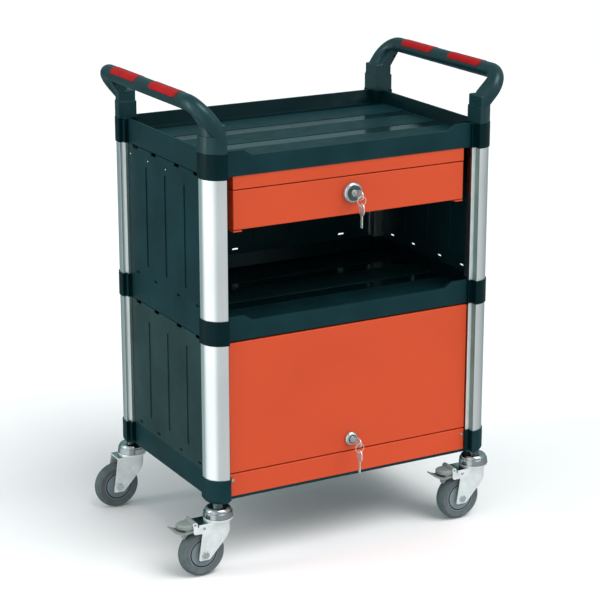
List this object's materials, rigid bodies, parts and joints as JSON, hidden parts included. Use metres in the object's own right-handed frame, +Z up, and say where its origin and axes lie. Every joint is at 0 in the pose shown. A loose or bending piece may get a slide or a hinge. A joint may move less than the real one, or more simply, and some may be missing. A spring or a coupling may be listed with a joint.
{
  "type": "shelf trolley",
  "caption": "Wheeled shelf trolley: black trays on aluminium posts, orange lockable drawer under the top tray, lockable orange cupboard flap below, side push handles, braked swivel casters.",
  "frame": {"origin": "on the floor, midway between the four caster swivel axes", "axes": "+Z up, +X to the right along the drawer front, front of the trolley towards -Y"},
  "size_m": [0.8285, 0.5305, 1.0468],
  "materials": {
    "plastic_black": "fine grain, satin",
    "post_aluminium": "satin anodised",
    "paint_orange": "semi-gloss powder coat",
    "grip_red": "glossy",
    "rail_steel": "zinc plated",
    "pin_steel": "bright zinc",
    "lock_chrome": "polished",
    "key_steel": "nickel plated",
    "cup_chrome": "bright zinc",
    "fork_zinc": "bright zinc",
    "hub_grey": "moulded",
    "tyre_grey": "smooth rubber",
    "pedal_grey": "moulded"
  },
  "bodies": {
    "frame": {"top_tray": "plastic_black", "middle_tray": "plastic_black", "bottom_tray": "plastic_black", "upper_back_panel": "plastic_black", "lower_back_panel": "plastic_black", "drawer_housing": "paint_orange", "drawer_rails": "rail_steel", "door_pivot_pins": "pin_steel", "kick_strip": "paint_orange", "upper_side_panel_left": "plastic_black", "lower_side_panel_left": "plastic_black", "handle_left": "plastic_black", "grip_inserts_left": "grip_red", "upper_side_panel_right": "plastic_black", "lower_side_panel_right": "plastic_black", "handle_right": "plastic_black", "grip_inserts_right": "grip_red", "upper_post_front_left": "post_aluminium", "lower_post_front_left": "post_aluminium", "caster_mount_front_left": "cup_chrome", "upper_post_front_right": "post_aluminium", "lower_post_front_right": "post_aluminium", "caster_mount_front_right": "cup_chrome", "upper_post_rear_left": "post_aluminium", "lower_post_rear_left": "post_aluminium", "caster_mount_rear_left": "cup_chrome", "upper_post_rear_right": "post_aluminium", "lower_post_rear_right": "post_aluminium", "caster_mount_rear_right": "cup_chrome"},
    "drawer": {"drawer_front": "paint_orange", "drawer_box": "paint_orange", "drawer_slides": "rail_steel", "drawer_lock_body": "lock_chrome"},
    "drawer_plug": {"drawer_lock_plug": "lock_chrome", "drawer_key": "key_steel"},
    "drawer_spare": {"drawer_spare_key": "key_steel"},
    "flap": {"cupboard_door": "paint_orange", "door_lock_body": "lock_chrome"},
    "flap_plug": {"door_lock_plug": "lock_chrome", "door_key": "key_steel"},
    "flap_spare": {"door_spare_key": "key_steel"},
    "swivel_front_left": {"caster_fork_front_left": "fork_zinc", "caster_axle_front_left": "fork_zinc"},
    "wheel_front_left": {"caster_hub_front_left": "hub_grey", "caster_tyre_front_left": "tyre_grey"},
    "pedal_front_left": {"brake_pedal_front_left": "pedal_grey"},
    "swivel_front_right": {"caster_fork_front_right": "fork_zinc", "caster_axle_front_right": "fork_zinc"},
    "wheel_front_right": {"caster_hub_front_right": "hub_grey", "caster_tyre_front_right": "tyre_grey"},
    "pedal_front_right": {"brake_pedal_front_right": "pedal_grey"},
    "swivel_rear_left": {"caster_fork_rear_left": "fork_zinc", "caster_axle_rear_left": "fork_zinc"},
    "wheel_rear_left": {"caster_hub_rear_left": "hub_grey", "caster_tyre_rear_left": "tyre_grey"},
    "swivel_rear_right": {"caster_fork_rear_right": "fork_zinc", "caster_axle_rear_right": "fork_zinc"},
    "wheel_rear_right": {"caster_hub_rear_right": "hub_grey", "caster_tyre_rear_right": "tyre_grey"}
  },
  "joints": [
    {"name": "drawer_slide", "type": "slide", "parent": "frame", "child": "drawer", "axis": [0, -1, 0], "range_m": [0, 0.3]},
    {"name": "flap_hinge", "type": "hinge", "parent": "frame", "child": "flap", "pos_m": [0, -0.2165, 0.501], "axis": [-1, 0, 0], "range_deg": [0, 95]},
    {"name": "drawer_lock_turn", "type": "hinge", "parent": "drawer", "child": "drawer_plug", "pos_m": [0, -0.221, 0.804], "axis": [0, -1, 0], "range_deg": [0, 90]},
    {"name": "drawer_key_swing", "type": "hinge", "parent": "drawer_plug", "child": "drawer_spare", "pos_m": [0, -0.2635, 0.803], "axis": [-1, 0, 0], "range_deg": [-15, 60]},
    {"name": "flap_lock_turn", "type": "hinge", "parent": "flap", "child": "flap_plug", "pos_m": [0, -0.2245, 0.2465], "axis": [0, -1, 0], "range_deg": [0, 90]},
    {"name": "flap_key_swing", "type": "hinge", "parent": "flap_plug", "child": "flap_spare", "pos_m": [0, -0.264, 0.2455], "axis": [-1, 0, 0], "range_deg": [-15, 60]},
    {"name": "swivel_front_left_turn", "type": "hinge", "parent": "frame", "child": "swivel_front_left", "pos_m": [-0.3285, -0.2225, 0.124], "axis": [0, 0, 1], "continuous": true},
    {"name": "wheel_front_left_spin", "type": "hinge", "parent": "swivel_front_left", "child": "wheel_front_left", "pos_m": [-0.3705, -0.2225, 0.053], "axis": [0, 1, 0], "continuous": true},
    {"name": "brake_front_left_press", "type": "hinge", "parent": "swivel_front_left", "child": "pedal_front_left", "pos_m": [-0.3935, -0.2225, 0.1255], "axis": [0, -1, 0], "range_deg": [0, 7]},
    {"name": "swivel_front_right_turn", "type": "hinge", "parent": "frame", "child": "swivel_front_right", "pos_m": [0.3285, -0.2225, 0.124], "axis": [0, 0, 1], "continuous": true},
    {"name": "wheel_front_right_spin", "type": "hinge", "parent": "swivel_front_right", "child": "wheel_front_right", "pos_m": [0.2865, -0.2225, 0.053], "axis": [0, 1, 0], "continuous": true},
    {"name": "brake_front_right_press", "type": "hinge", "parent": "swivel_front_right", "child": "pedal_front_right", "pos_m": [0.2635, -0.2225, 0.1255], "axis": [0, -1, 0], "range_deg": [0, 7]},
    {"name": "swivel_rear_left_turn", "type": "hinge", "parent": "frame", "child": "swivel_rear_left", "pos_m": [-0.3285, 0.2225, 0.124], "axis": [0, 0, 1], "continuous": true},
    {"name": "wheel_rear_left_spin", "type": "hinge", "parent": "swivel_rear_left", "child": "wheel_rear_left", "pos_m": [-0.3705, 0.2225, 0.053], "axis": [0, 1, 0], "continuous": true},
    {"name": "swivel_rear_right_turn", "type": "hinge", "parent": "frame", "child": "swivel_rear_right", "pos_m": [0.3285, 0.2225, 0.124], "axis": [0, 0, 1], "continuous": true},
    {"name": "wheel_rear_right_spin", "type": "hinge", "parent": "swivel_rear_right", "child": "wheel_rear_right", "pos_m": [0.2865, 0.2225, 0.053], "axis": [0, 1, 0], "continuous": true}
  ]
}
